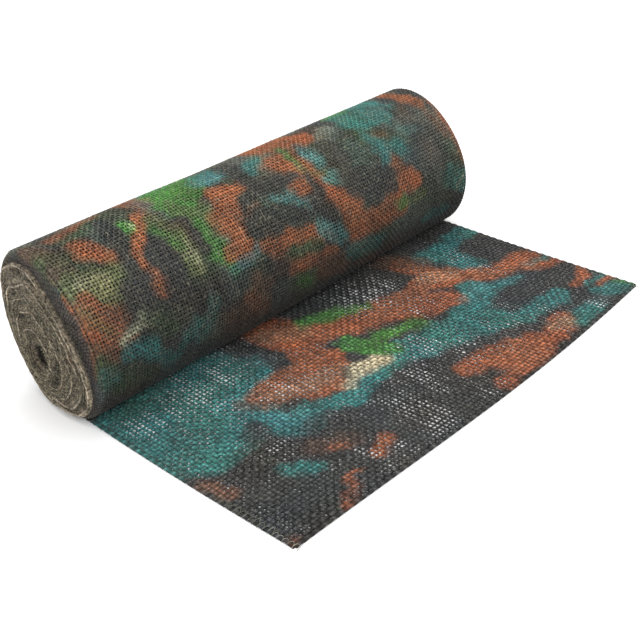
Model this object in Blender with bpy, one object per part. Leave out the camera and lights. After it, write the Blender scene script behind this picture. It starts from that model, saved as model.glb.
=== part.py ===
"""Roll of woven jute camouflage cloth with its loose end laid out flat.

Metres, +Z up. X runs along the roll, from its left end to its right end. Y runs
from the free edge of the loose end back to the roll. The origin is at the middle
of the part's footprint, on the floor.
"""
import math

import bmesh
import bpy

# The cloth
CLOTH_WIDTH = 0.400
SHEET_THICK = 0.0020
PIECE_GAP = 0.0003

# The roll's section: an oval that leans back and has settled on the floor
ROLL_LONG = 0.1226
ROLL_SHORT = 0.0988
ROLL_LEAN = math.radians(65.6)
ROLL_BULGE = 0.0009
ROLL_MID_Y = 0.2210
ROLL_MID_Z = 0.0552
ROLL_POINTS = 64

# Where the outer turn comes down to the floor, behind the loose end's back edge
STEP_Y = 0.2180

# The hole left in the middle of the roll, low and towards the back
CORE_Y = 0.2410
CORE_Z = 0.0320
CORE_RADIUS = 0.0100
CORE_DEPTH = 0.0240

# The slow swell and sway of the outer turn along the roll
ROLL_STATIONS = (
    {"along": 0.00, "swell": 0.0006, "sway": 0.0004},
    {"along": 0.10, "swell": 0.0006, "sway": 0.0006},
    {"along": 0.24, "swell": 0.0007, "sway": 0.0002},
    {"along": 0.40, "swell": 0.0002, "sway": -0.0006},
    {"along": 0.55, "swell": 0.0005, "sway": -0.0002},
    {"along": 0.70, "swell": 0.0001, "sway": 0.0006},
    {"along": 0.86, "swell": 0.0000, "sway": 0.0003},
    {"along": 1.00, "swell": 0.0002, "sway": 0.0000},
)

# The rim of an end, from the outer turn's rounded edge to the wound turns:
# inward is the share of the way to the hole, back the distance behind the
# foremost edge, crease how much of the deep crease under the outer turn is added
END_RIM = (
    {"inward": 0.000, "back": 0.0050, "crease": 0.0},
    {"inward": 0.012, "back": 0.0022, "crease": 0.0},
    {"inward": 0.045, "back": 0.0010, "crease": 0.1},
    {"inward": 0.085, "back": 0.0024, "crease": 0.6},
    {"inward": 0.120, "back": 0.0036, "crease": 1.0},
    {"inward": 0.155, "back": 0.0020, "crease": 0.5},
    {"inward": 0.185, "back": 0.0004, "crease": 0.0},
    {"inward": 0.215, "back": 0.0000, "crease": 0.0},
)

# The two ends: reach is the direction along X, proud how far the turns have slid
# past the cloth's width, crease the depth of the crease under the outer turn,
# ridge the depth between the wound turns, phase where on the round they start
ENDS = (
    {"reach": -1, "proud": 0.0040, "crease": 0.0060, "ridge": 0.0036, "phase": 0.0},
    {"reach": 1, "proud": 0.0000, "crease": 0.0030, "ridge": 0.0030, "phase": 2.1},
)
CREASE_AT = math.radians(150)
WOUND_TURNS = 5
RINGS_PER_TURN = 4
WOUND_FROM = 0.25
WOUND_TO = 0.93
CORE_RIM_BACK = 0.0012

# The loose end: how far it lies out, and the bows of its edges
LOOSE_SHIFT = -0.0012
SELVEDGE_BOW = 0.0016
FREE_EDGE_BOW = 0.0064
FREE_EDGE_SKEW = 1.3
LOOSE_ACROSS = 20
LOOSE_ALONG = 9


def clear_scene():
    for thing in list(bpy.data.objects):
        bpy.data.objects.remove(thing, do_unlink=True)


def make_material(name, colour, roughness):
    material = bpy.data.materials.new(name)
    material.use_nodes = True
    shader = material.node_tree.nodes["Principled BSDF"]
    shader.inputs["Base Color"].default_value = (*colour, 1.0)
    shader.inputs["Roughness"].default_value = roughness
    shader.inputs["Metallic"].default_value = 0.0
    return material


def make_object(name, bm, material):
    bmesh.ops.recalc_face_normals(bm, faces=bm.faces)
    mesh = bpy.data.meshes.new(name)
    bm.to_mesh(mesh)
    bm.free()
    mesh.shade_smooth()
    mesh.set_sharp_from_angle(angle=math.radians(40))
    mesh.materials.append(material)
    thing = bpy.data.objects.new(name, mesh)
    bpy.context.scene.collection.objects.link(thing)
    return thing


def free_radius(angle):
    """The roll's radius at an angle, before it settles on the floor."""
    turn = angle - ROLL_LEAN
    long_half = ROLL_LONG / 2
    short_half = ROLL_SHORT / 2
    oval = long_half * short_half / math.hypot(short_half * math.cos(turn), long_half * math.sin(turn))
    return oval + ROLL_BULGE * math.cos(3 * turn)


def outline_angles():
    """Angles of the outline's points: once round, from the step and back to it."""
    start = math.atan2(-ROLL_MID_Z, STEP_Y - ROLL_MID_Y)
    return [start + math.tau * index / ROLL_POINTS for index in range(ROLL_POINTS + 1)]


def outline_point(index, angle, swell, sway):
    """A point of the outer turn: on its oval, on the floor, or on the loose end."""
    on_floor = index < ROLL_POINTS / 2
    level = 0.0 if on_floor else SHEET_THICK + PIECE_GAP
    if index in (0, ROLL_POINTS):
        return STEP_Y, level
    radius = free_radius(angle) + swell
    y = ROLL_MID_Y + sway + radius * math.cos(angle)
    z = ROLL_MID_Z + radius * math.sin(angle)
    if z >= level:
        return y, z
    down = (ROLL_MID_Z - level) / -math.sin(angle)
    return ROLL_MID_Y + down * math.cos(angle), level


def ring_points(station, inward):
    """The outline at a station, drawn in by a share of the way to the hole."""
    points = []
    for index, angle in enumerate(outline_angles()):
        outer_y, outer_z = outline_point(index, angle, station["swell"], station["sway"])
        core_y = CORE_Y + CORE_RADIUS * math.cos(angle)
        core_z = CORE_Z + CORE_RADIUS * math.sin(angle)
        points.append((outer_y + inward * (core_y - outer_y), outer_z + inward * (core_z - outer_z)))
    return points


def add_ring(bm, points, places):
    """A closed ring of edges through (y, z) points at the given x places."""
    verts = [bm.verts.new((x, y, z)) for x, (y, z) in zip(places, points)]
    pairs = zip(verts, verts[1:] + verts[:1])
    return [bm.edges.new(pair) for pair in pairs]


def rim_backs(row, end):
    """How far back each point of a rim ring lies; the crease is deepest at the front."""
    backs = []
    for angle in outline_angles():
        facing = 0.5 + 0.5 * math.cos(angle - CREASE_AT)
        backs.append(row["back"] + row["crease"] * end["crease"] * facing)
    return backs


def wound_backs(inward, end):
    """How far back each point of a wound ring lies: a spiral of soft ridges."""
    share = (inward - WOUND_FROM) / (WOUND_TO - WOUND_FROM)
    backs = []
    for angle in outline_angles():
        turn = share * WOUND_TURNS + (angle - end["phase"]) / math.tau
        backs.append(end["ridge"] * (0.5 - 0.5 * math.cos(math.tau * turn)))
    return backs


def end_rings(end):
    """The rings of an end as (inward, backs), from the outer turn to the hole's floor."""
    rings = [(row["inward"], rim_backs(row, end)) for row in END_RIM]
    count = WOUND_TURNS * RINGS_PER_TURN
    for index in range(count + 1):
        inward = WOUND_FROM + (WOUND_TO - WOUND_FROM) * index / count
        rings.append((inward, wound_backs(inward, end)))
    points = ROLL_POINTS + 1
    rings.append((0.965, [CORE_RIM_BACK] * points))
    rings.append((1.0, [CORE_RIM_BACK * 2] * points))
    rings.append((1.0, [CORE_DEPTH] * points))
    return rings


def end_loops(bm, end):
    """Edge rings of one end, listed from the outside of the roll inwards."""
    station = ROLL_STATIONS[0] if end["reach"] < 0 else ROLL_STATIONS[-1]
    loops = []
    for inward, backs in end_rings(end):
        places = [end["reach"] * (CLOTH_WIDTH / 2 + end["proud"] - back) for back in backs]
        loops.append(add_ring(bm, ring_points(station, inward), places))
    return loops


def side_loops(bm):
    """Edge rings along the roll, between the two ends."""
    loops = []
    for station in ROLL_STATIONS[1:-1]:
        x = CLOTH_WIDTH * (station["along"] - 0.5)
        points = ring_points(station, 0.0)
        loops.append(add_ring(bm, points, [x] * len(points)))
    return loops


def make_roll(material):
    """The wound cloth as one solid, with the main turns raised on both ends."""
    bm = bmesh.new()
    left_end = end_loops(bm, ENDS[0])
    right_end = end_loops(bm, ENDS[1])
    loops = left_end[::-1] + side_loops(bm) + right_end
    for first, second in zip(loops, loops[1:]):
        bmesh.ops.bridge_loops(bm, edges=first + second)
    for last in (loops[0], loops[-1]):
        bmesh.ops.edgeloop_fill(bm, edges=last)
    return make_object("roll", bm, material)


def loose_place(across, along):
    """Where a point of the flat cloth lies; both shares run from 0 to 1."""
    back_y = STEP_Y - PIECE_GAP
    bow = FREE_EDGE_BOW * math.sin(math.pi * across ** FREE_EDGE_SKEW)
    selvedge = SELVEDGE_BOW * math.sin(math.pi * along)
    x = CLOTH_WIDTH * (across - 0.5) + LOOSE_SHIFT - selvedge
    y = along * back_y - (1 - along) ** 2 * bow
    return x, y


def make_loose_end(material):
    """The flat sheet from the free edge to the step under the roll."""
    bm = bmesh.new()
    bmesh.ops.create_grid(bm, x_segments=LOOSE_ACROSS, y_segments=LOOSE_ALONG, size=0.5)
    for vert in bm.verts:
        vert.co.x, vert.co.y = loose_place(vert.co.x + 0.5, vert.co.y + 0.5)
    raised = bmesh.ops.extrude_face_region(bm, geom=bm.faces[:])
    top = [item for item in raised["geom"] if isinstance(item, bmesh.types.BMVert)]
    bmesh.ops.translate(bm, verts=top, vec=(0, 0, SHEET_THICK))
    return make_object("loose_end", bm, material)


def centre_footprint(pieces):
    """Move the pieces together so that the origin is under the middle of them all."""
    corners = [vert.co for piece in pieces for vert in piece.data.vertices]
    middle_x = (min(co.x for co in corners) + max(co.x for co in corners)) / 2
    middle_y = (min(co.y for co in corners) + max(co.y for co in corners)) / 2
    for piece in pieces:
        for vert in piece.data.vertices:
            vert.co.x -= middle_x
            vert.co.y -= middle_y


def main():
    clear_scene()
    roll_cloth = make_material("jute_roll", (0.075, 0.085, 0.060), 0.95)
    loose_cloth = make_material("jute_loose", (0.070, 0.105, 0.095), 0.95)
    centre_footprint([make_roll(roll_cloth), make_loose_end(loose_cloth)])


main()
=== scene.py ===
"""Looks of a roll of printed jute cloth with its loose end laid out flat.

The cloth is woven thread by thread: straight threads are modelled side by side,
then laid over and under each other along the cloth, round the roll or flat on the
floor. The print is put on the threads as a colour attribute.
"""

import math
from collections import namedtuple

import bmesh
import bpy
import numpy as np
from bpy.props import FloatProperty, FloatVectorProperty, IntProperty, PointerProperty
from mathutils import Matrix, Vector


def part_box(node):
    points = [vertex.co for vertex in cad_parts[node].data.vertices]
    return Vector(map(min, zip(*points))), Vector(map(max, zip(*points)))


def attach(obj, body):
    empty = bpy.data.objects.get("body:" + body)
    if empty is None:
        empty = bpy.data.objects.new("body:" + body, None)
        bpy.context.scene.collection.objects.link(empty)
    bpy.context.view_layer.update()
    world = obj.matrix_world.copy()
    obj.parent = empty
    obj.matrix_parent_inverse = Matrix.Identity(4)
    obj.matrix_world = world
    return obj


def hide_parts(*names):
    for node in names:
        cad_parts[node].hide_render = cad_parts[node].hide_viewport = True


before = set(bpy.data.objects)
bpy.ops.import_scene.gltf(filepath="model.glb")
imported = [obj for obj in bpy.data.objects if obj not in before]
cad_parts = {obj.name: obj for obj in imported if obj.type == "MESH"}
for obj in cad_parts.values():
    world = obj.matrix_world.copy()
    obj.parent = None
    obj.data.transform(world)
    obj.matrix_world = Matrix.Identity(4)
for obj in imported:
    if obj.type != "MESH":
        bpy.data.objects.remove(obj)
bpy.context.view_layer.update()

bl_info = {
    "name": "Jute camouflage roll",
    "version": (1, 0, 0),
    "blender": (4, 5, 0),
    "location": "3D View > Sidebar > Jute roll",
    "description": "Weaves, prints and lays out a roll of jute camouflage cloth",
    "category": "Object",
}

ROLL_LOW, ROLL_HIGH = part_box("roll")
LOOSE_LOW, LOOSE_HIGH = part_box("loose_end")
CLOTH_WIDTH = LOOSE_HIGH.x - LOOSE_LOW.x

# Straight threads are modelled one unit apart before they are laid, with this radius
TUBE_RADIUS = 0.4

# The soft noise's table, and how many threads get random numbers of their own
NOISE_CELLS = 128
THREAD_NUMBERS = 512

# How far up a thread's crown a point is: the share of its wave, and of its own roundness
WAVE_SHARE = 0.6
ROUND_SHARE = 0.4

# The fibres' map runs on from thread to thread by this, and the OFBake maps span these lengths
TWIST_SHIFT = 7.31
CLOTH_MAP = 0.41
END_MAP = 0.3
END_MAP_LOW = 0.1
MAP_MIDDLE = 0.5

# Reading the CAD roll's outline
OUTLINE_STATIONS = 9
OUTLINE_INSET = 0.026
OUTLINE_ANGLES = 360
SLOPE_STEP = 0.02
ROLL_MIDDLE_Y = ROLL_HIGH.y - 0.0521
ROLL_MIDDLE_Z = 0.0552

# How far the loosely wound outer turn stands proud along the top of its back
PROUD_AT = math.radians(50)
PROUD_SPREAD = math.radians(27)
PROUD_LEFT = 0.0016
PROUD_RIGHT = 0.0036

# The length of the outer turn that is woven, measured round the roll from straight below its middle
WOVEN_FROM = 0.0200
WOVEN_TO = 0.3360

# Where the print's charts are measured from: the left end of the roll and the free edge
CHART_LEFT = ROLL_LOW.x + 0.0040
CHART_FRONT = LOOSE_LOW.y + 0.0064

# Reading the CAD loose end's outline
LOOSE_INSET = 0.0040
LOOSE_COLUMNS = 25
LOOSE_ROWS = 13

# The hole in the middle of the winding
CORE_Y = 0.1077
CORE_Z = 0.0320
CORE_RADIUS = 0.0100
CORE_DIP = 0.0030

# The outer turn's edge, folded in over the end: its lengthways threads, how round it is, how it
# dips to the crease, and how far it laps the woven turn
LEFT_FOLD_THREADS = 10
RIGHT_FOLD_THREADS = 3
THREAD_FILL = 0.48
FOLD_ROUND = 0.0040
FOLD_FRONT = 0.0010
FOLD_BACK = 0.0042
FOLD_SLOPE = 0.12
FOLD_LAP = 0.0012

# The folded-in edge's colour: where it turns brown, how dark the painted shade in the crease is, and the
# least of the painted foot shade there
BROWN_FROM = 0.0025
BROWN_TO = 0.0105
FOLD_BROWN = 0.8
CREASE_SHADE_WIDE = 0.0040
CREASE_SHADE_DARK = 0.62
CREASE_SHADE_FULL = 0.012
FOLD_FOOT = 0.55

# How far both ends bulge at the bottom front, round which place, and how soon from the outline
END_BELLY = 0.0048
BELLY_Y = 0.0800
BELLY_SIZE = 0.0250
BELLY_FULL = 0.0040

# The wound turns' edges: how finely they bend, how far they stray, their size and depth, and the side where
# they are painted palest, as if lit
END_FRONT = 0.0003
LIT_SIDE = math.radians(150)
TURN_STEPS = 140
TURN_STRAY = 0.0009
TURN_FILL = 0.34
TURN_THIN = 0.00028
TURN_THICK = 0.00066
TURN_FRONT = 0.0006
TURN_BACK = 0.0048
TURN_SINK = 0.0023
TURN_HOLLOW = 0.0035
TURN_FLOOR = 0.0007

# How open the loose end's weave gets: its crossways threads draw in more, so the openings are long
OPENING = 0.48
WARP_OPENS = 0.75
WEFT_OPENS = 1.30
CHART_LENGTH = 218.0

# How many threads from an edge lie straight, and how the loose end's edge threads lie
EDGE_THREADS = 6
EDGE_SWELL = 1.12
EDGE_TUCK = 0.8

# How the selvedge's thread loops round the cloth's edge
STITCH_STEPS = 8
STITCH_IN = 0.0042
STITCH_OUT = 0.0003
STITCH_AWAY = 0.0012
FAR_STITCH = 0.7
STITCH_LOW = 0.0002
STITCH_HIGH = 0.0021
STITCH_LEAN = 0.14
STITCH_START = 0.003
STITCH_SHORT = 0.004
PALE_STITCHES = 13
STITCH_TINT = (0.84, 0.94, 1.12)

# The felted face behind the turns' edges, and the drum under the weave
FELT_SIDES = 240
FELT_DEPTH = 0.0028
FELT_RISE = 0.0017
FELT_STEP = 0.0005
FELT_LUMP = 0.0005
FELT_HOLLOW = 0.0040
FELT_TURN_ROWS = 48
FELT_BAND_ROWS = 8
CORE_FLOOR = 0.0200
CORE_MOUTH = 0.0085
UNDER_WEAVE = 0.0015
UNDER_BARE = 0.0003
BARE_FROM = 0.435
UNDER_OFFSET = 0.0160
UNDER_DEEPER = 0.0020

# Painted shade: how the roll darkens towards its foot
FOOT_FROM = 0.0400
FOOT_TO = 0.1320
FOOT_TONE = 0.12

# The print's borders: how far they wander and how soft they are in millimetres, and the ink's strength
WANDER = 2.8
BORDER_SOFT = 7.5
INK_STRENGTH = 0.94
INK_WEAKEST = 0.4

# How mottled the ground is, and how much bare fibre shows
ROLL_MOTTLE = 0.50
LOOSE_MOTTLE = 0.06
ROLL_DRY = 0.022
LOOSE_DRY = 0.004
GLINT = 18.0
ROLL_TINT = (1.26, 1.34, 1.28)
LOOSE_TINT = (0.93, 0.95, 0.97)

# Where the threads' crowns are painted pale, as painted highlight and rubbed wear together: how high, and
# by how much; and the painted shade in the weave's pits
CROWN_FROM = 0.72
CROWN_GAIN = 1.9
CROWN_GREY = 0.066
PIT_SHADE = 0.35
FLAT_HEIGHT = 0.65

# The loose fibres: one straight step each, how many, and how flat they lie
HAIR_RADIUS = 0.00013
HAIR_STEPS = 1
HAIR_TAPER = 0.6
LEFT_END_FIBRES = 16000
RIGHT_END_FIBRES = 3600
ROLL_FIBRES = 9500
LOOSE_FIBRES = 4000
END_LIE = 0.62
FLAT_LIE = 0.80

# The stage
FLOOR_SIZE = 12.0
FLOOR_COLOUR = (0.94, 0.94, 0.94)
SKY_STRENGTH = 0.98
LIT_POINT = (0.0, 0.0, 0.05)
CAMERA_PLACE = (-0.51132, -0.45765, 0.42128)
CAMERA_AZIMUTH = math.radians(46.365)
CAMERA_ELEVATION = math.radians(-30.873)
CAMERA_ROLL = math.radians(-2.284)
CAMERA_LENS = 59.448

# How brightly the stage is lit, so that its floor stays white beside the roll
STAGE_LIGHT = 1.3

Blot = namedtuple("Blot", "ink x1 y1 x2 y2 wide mix", defaults=(0.95,))
Laid = namedtuple("Laid", "thread ring run side up")
Patch = namedtuple("Patch", "x y size open")
Band = namedtuple("Band", "angle wide")
Gap = namedtuple("Gap", "turn angle spread opening")
Void = namedtuple("Void", "y z long wide")
Lamp = namedtuple("Lamp", "name place size power")
Look = namedtuple("Look", "lint_scale lint crowns streaks sheen")
Grain = namedtuple("Grain", "seed amount wide long")
Ripple = namedtuple("Ripple", "seed amount across along")
TurnTone = namedtuple("TurnTone", "base level proud streak patch")

# Noises over the cloth: their seed, how much they add, and the lengths in metres that they change over
WANDER_X = (Grain(0, WANDER, 0.021, 0.021), Grain(2, WANDER, 0.0065, 0.0065))
WANDER_Y = (Grain(1, WANDER, 0.021, 0.021), Grain(3, WANDER, 0.0065, 0.0065))
BORDER_GRAIN = (Grain(4, 4.5, 0.024, 0.024),)
STRENGTH_GRAIN = (Grain(5, 0.26, 0.011, 0.011), Grain(6, 0.18, 0.0032, 0.0032))
DRIFT_GRAIN = (Grain(7, 0.14, 0.026, 0.026),)
TONE_GRAIN = (Grain(8, 0.22, 0.017, 0.017), Grain(9, 0.14, 0.005, 0.005))
MOTTLE_GRAIN = Grain(11, 1.0, 0.024, 0.024)
BARE_GRAIN = (Grain(23, 0.8, 0.03, 0.03),)
DUSK_GRAIN = (Grain(47, 0.50, 0.0045, 0.0045), Grain(48, 0.6, 0.0013, 0.0016))

# Noises over counted things, such as threads and crossings or turns and angles: how fast they change
ROLL_SWELL = (Ripple(1, 0.34, 2.3, 0.45),)
ROLL_SWAY = (Ripple(2, 0.00040, 0.8, 0.35), Ripple(3, 0.0010, 0.09, 0.07))
LOOSE_SWELL = (Ripple(1, 0.30, 2.1, 0.60),)
LOOSE_SWAY = (Ripple(2, 0.00050, 0.8, 0.40), Ripple(3, 0.0016, 0.10, 0.07))
OPENING_RIPPLE = (Ripple(4, 0.10, 9, 5),)
FOLD_SWELL = (Ripple(1, 0.22, 2.3, 0.22),)
THREAD_RIPPLE = (Ripple(21, 0.20, 3.7, 0.45),)
GLINT_RIPPLE = (Ripple(22, 1.0, 1.9, 1.3),)
TURN_WANDER = (Ripple(0, 1.0, 1.3, 1.1), Ripple(1, 0.5, 2.9, 3.3), Ripple(11, 0.35, 7.1, 8.0))
TURN_RISE = (Ripple(2, 0.22, 0.9, 1.1),)
TURN_DEPTH = (Ripple(3, 0.0004, 4.1, 4.3), Ripple(9, 0.0003, 9.1, 17.0))
TURN_SWELL = (Ripple(4, 0.28, 5.3, 2.7), Ripple(12, 0.30, 9.7, 15.0))
TURN_STREAK = (Ripple(5, 1.0, 3.7, 9.0),)
TURN_PATCH = (Ripple(6, 1.0, 0.35, 1.5), Ripple(13, 0.8, 1.1, 3.1))
TURN_BROKEN = (Ripple(10, 0.95, 2.3, 2.6),)
TURN_DASH = (Ripple(8, 1.0, 40.0, 14.0),)

# How pale a turn's edge is: by itself, with painted light where it stands proud and on its lit side, in
# streaks and patches
TURN_TONE = TurnTone(0.80, 0.30, 0.60, 0.62, 0.18)
STAIN_TURNS = 0.7
STAIN_ROUND = 2.2
STAIN_MOST = 0.35

# How wide the folded-in edge is round each end: degrees from the back, and metres
LEFT_BAND = (
    Band(0, 0.0030), Band(42, 0.0040), Band(57, 0.0075), Band(68, 0.0098), Band(81, 0.0128),
    Band(94, 0.0199), Band(112, 0.0250), Band(141, 0.0262), Band(174, 0.0226), Band(203, 0.0130),
    Band(211, 0.0092), Band(225, 0.0052), Band(237, 0.0036), Band(252, 0.0032), Band(270, 0.0030),
    Band(330, 0.0030),
)
RIGHT_BAND = (Band(0, 0.0030), Band(120, 0.0045), Band(240, 0.0035))

# Gaps left between the wound turns: after which turn, at which angle, how long and how open
GAPS = (
    Gap(1.6, 58, 14, 0.0050),
    Gap(10.6, 14, 16, 0.0060),
    Gap(13.6, 203, 18, 0.0050),
    Gap(13.6, 238, 14, 0.0055),
)

# How far each wound turn stands proud of the felted face, from the outside in
TURN_LEVELS = (1.0, 0.25, 0.1, 0.95, 0.3, 0.1, 0.6, 0.2, 0.1, 0.9, 0.3, 0.1, 0.2, 0.95, 0.5, 0.3, 0.4)

# Hollows between the turns of the left end, sunk back and darkened with painted shade
VOIDS = (
    Void(0.1150, 0.0972, 0.0045, 0.0022),
    Void(0.1190, 0.0620, 0.0050, 0.0026),
    Void(0.0838, 0.0340, 0.0022, 0.0050),
    Void(0.0878, 0.0215, 0.0045, 0.0026),
    Void(0.1068, 0.0500, 0.0040, 0.0012),
    Void(0.0600, 0.0300, 0.0014, 0.0080),
    Void(0.0575, 0.0150, 0.0040, 0.0030),
)

# The materials: fine mottle per metre and its strength, crowns painted pale as highlight and wear, pale
# strands, sheen
LOOKS = {
    "rolled_jute_threads": Look(650.0, 0.45, 0.45, 0.45, 0.10),
    "laid_jute_threads": Look(420.0, 0.45, 0.95, 0.30, 0.06),
    "wound_jute_edges": Look(520.0, 0.95, 0.0, 0.85, 0.12),
    "jute_fibres": Look(650.0, 0.30, 0.0, 0.0, 0.15),
}

LAMPS = (
    Lamp("overhead", (0.3, 0.4, 1.8), 1.6, 18.0),
    Lamp("front", (-1.6, -1.2, 1.4), 1.4, 13.0),
)


def from_screen(red, green, blue):
    """A colour as it shows on this stage, 0 to 255, turned into the linear colour of the cloth."""
    out = []
    for value in (red, green, blue):
        share = value / 255
        light = share / 12.92 if share <= 0.04045 else ((share + 0.055) / 1.055) ** 2.4
        out.append(light / STAGE_LIGHT)
    return tuple(out)


def strokes(ink, *rows):
    """Blots of one ink: each runs from x1, y1 to x2, y2, with a half width and how much ink it holds."""
    return [Blot(ink, *row) for row in rows]


# The print on the roll, in millimetres: x from the left end, y round the roll from below its middle
ROLL_CHART = (
    *strokes("umber", (0, 190, 6, 120, 10, 0.6)),
    *strokes("moss", (24, 184, 48, 186, 6, 0.7)),
    *strokes("rust", (18, 191, 64, 199, 4, 0.7)),
    *strokes("moss", (2, 172, 20, 160, 8, 0.5)),
    *strokes("rust", (29, 171, 42, 152, 8), (27, 164, 34, 160, 7)),
    *strokes("olive", (3, 147, 38, 141, 9, 0.85)),
    *strokes("natural", (12, 146, 26, 138, 5, 0.35)),
    *strokes("rust", (8, 132, 22, 118, 9, 0.6)),
    *strokes("olive", (20, 138, 30, 126, 5, 0.6)),
    *strokes("rust", (4, 118, 22, 98, 10, 0.75)),
    *strokes("olive", (4, 128, 14, 112, 4, 0.5)),
    *strokes("umber", (2, 100, 10, 90, 7, 0.8)),
    *strokes("moss", (2, 86, 14, 68, 9, 0.9), (24, 72, 40, 60, 8, 0.6)),
    *strokes("teal", (24, 90, 40, 84, 8, 0.75), (4, 84, 8, 76, 5, 0.6)),
    *strokes("natural", (20, 101, 44, 108, 4, 0.85)),
    *strokes("teal", (42, 78, 58, 66, 6, 0.8), (60, 62, 80, 84, 6, 0.7), (86, 70, 98, 92, 6, 0.55)),
    *strokes("smoke", (92, 84, 100, 98, 4, 0.6)),
    *strokes("moss", (46, 108, 60, 92, 8, 0.6)),
    *strokes("green", (66, 172, 75, 164, 6)),
    *strokes("natural", (69, 171, 72, 166, 2, 0.6)),
    *strokes("moss", (48, 190, 66, 194, 6, 0.6)),
    *strokes("rust", (88, 196, 100, 184, 10), (98, 184, 84, 172, 7), (84, 172, 66, 154, 5),
             (64, 152, 60, 140, 4, 0.9), (62, 130, 60, 118, 4)),
    *strokes("smoke", (94, 186, 102, 168, 8, 0.8)),
    *strokes("olive", (92, 166, 96, 122, 7, 0.9)),
    *strokes("natural", (96, 140, 98, 120, 2, 0.45)),
    *strokes("green", (86, 158, 92, 142, 4, 0.7)),
    *strokes("sky", (106, 200, 120, 198, 7, 0.8)),
    *strokes("green", (112, 192, 142, 196, 12), (110, 178, 136, 182, 12),
             (112, 168, 122, 152, 10, 0.9)),
    *strokes("olive", (108, 172, 114, 160, 6, 0.6)),
    *strokes("green", (116, 148, 118, 124, 7, 0.9), (118, 122, 124, 106, 5, 0.9)),
    *strokes("olive", (126, 160, 128, 140, 7, 0.8)),
    *strokes("black", (106, 160, 108, 130, 4)),
    *strokes("sky", (144, 182, 160, 186, 8, 0.85)),
    *strokes("teal", (148, 196, 164, 192, 6, 0.8)),
    *strokes("rust", (142, 164, 166, 162, 6, 0.9), (146, 158, 140, 130, 10), (126, 120, 144, 120, 8),
             (132, 150, 134, 134, 6, 0.8)),
    *strokes("umber", (150, 138, 168, 140, 4, 0.7)),
    *strokes("sky", (122, 106, 136, 106, 4, 0.6)),
    *strokes("smoke", (134, 110, 152, 113, 6, 0.8)),
    *strokes("umber", (134, 84, 146, 66, 7, 0.9), (140, 92, 150, 86, 4, 0.7)),
    *strokes("rust", (158, 113, 184, 109, 6, 0.8), (184, 110, 208, 104, 8, 0.9)),
    *strokes("moss", (182, 98, 206, 96, 6, 0.9)),
    *strokes("rust", (180, 88, 224, 82, 7, 0.85)),
    *strokes("umber", (206, 76, 238, 66, 10, 0.95)),
    *strokes("moss", (182, 74, 196, 68, 9, 0.95)),
    *strokes("green", (186, 72, 194, 68, 4, 0.6)),
    *strokes("teal", (188, 174, 204, 180, 9, 0.9)),
    *strokes("sky", (184, 144, 202, 138, 5, 0.8)),
    *strokes("rust", (212, 200, 244, 186, 15), (240, 196, 258, 184, 10), (206, 172, 226, 160, 9)),
    *strokes("olive", (224, 178, 228, 156, 5, 0.8)),
    *strokes("green", (226, 176, 229, 164, 3, 0.7)),
    *strokes("rust", (208, 142, 218, 144, 6, 0.9)),
    *strokes("smoke", (206, 134, 216, 124, 6, 0.8)),
    *strokes("teal", (202, 142, 208, 128, 4, 0.6)),
    *strokes("rust", (234, 176, 238, 130, 5, 0.9)),
    *strokes("smoke", (242, 174, 250, 164, 6, 0.6)),
    *strokes("sky", (242, 164, 248, 156, 6, 0.9), (242, 140, 252, 136, 6, 0.9)),
    *strokes("olive", (236, 150, 244, 146, 4, 0.6)),
    *strokes("rust", (238, 122, 256, 116, 8, 0.95), (248, 108, 256, 86, 12), (256, 92, 304, 92, 11),
             (302, 106, 328, 106, 8), (330, 106, 320, 124, 6)),
    *strokes("olive", (302, 90, 336, 92, 5, 0.7)),
    *strokes("green", (306, 90, 314, 92, 4, 0.7)),
    *strokes("sky", (214, 108, 234, 92, 7, 0.85)),
    *strokes("smoke", (218, 100, 226, 94, 4, 0.6)),
    *strokes("natural", (268, 172, 284, 180, 5, 0.45)),
    *strokes("smoke", (266, 170, 286, 178, 7, 0.7), (262, 142, 276, 140, 4, 0.6),
             (272, 154, 300, 150, 9, 0.25)),
    *strokes("teal", (312, 194, 340, 198, 14)),
    *strokes("green", (300, 200, 322, 202, 5, 0.7)),
    *strokes("teal", (306, 176, 336, 170, 11, 0.9)),
    *strokes("moss", (302, 158, 316, 150, 8, 0.8)),
    *strokes("umber", (310, 154, 320, 152, 4, 0.7)),
    *strokes("teal", (304, 160, 310, 132, 5, 0.8), (314, 140, 332, 138, 8, 0.8)),
    *strokes("sky", (344, 152, 350, 148, 4, 0.6)),
    *strokes("teal", (346, 184, 356, 178, 6, 0.6)),
    *strokes("smoke", (336, 170, 366, 150, 12, 0.25)),
    *strokes("rust", (374, 198, 380, 170, 7)),
    *strokes("umber", (378, 168, 386, 130, 4, 0.7)),
    *strokes("rust", (398, 162, 400, 108, 6, 0.7)),
    *strokes("teal", (248, 76, 280, 68, 8, 0.8), (378, 94, 394, 84, 12, 0.75)),
    *strokes("natural", (382, 82, 392, 92, 1.5, 0.5)),
    *strokes("teal", (346, 66, 368, 62, 7, 0.7)),
    *strokes("umber", (258, 58, 282, 46, 7, 0.8), (130, 44, 160, 36, 6, 0.6)),
    *strokes("teal", (60, 46, 96, 40, 8, 0.5)),
    *strokes("black", (56, 184, 46, 130, 7), (40, 128, 46, 116, 8), (78, 148, 72, 122, 9, 0.8),
             (160, 150, 200, 154, 6), (158, 130, 200, 124, 9), (172, 190, 176, 160, 9),
             (218, 124, 230, 114, 7), (262, 128, 300, 116, 14), (262, 160, 266, 150, 9, 0.8)),
    *strokes("rust", (-7, 142, -6, 132, 3, 0.8), (-5, 96, -8, 84, 3, 0.5)),
    *strokes("moss", (-4, 170, -12, 160, 6, 0.8)),
)

# Colours on the side of the roll that the photograph doesn't show
BACK_INKS = ("teal", "rust", "green", "black", "moss", "umber", "teal", "rust", "smoke", "black")
BACK_FROM = 212
BACK_TO = 344
BACK_COUNT = 74

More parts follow.
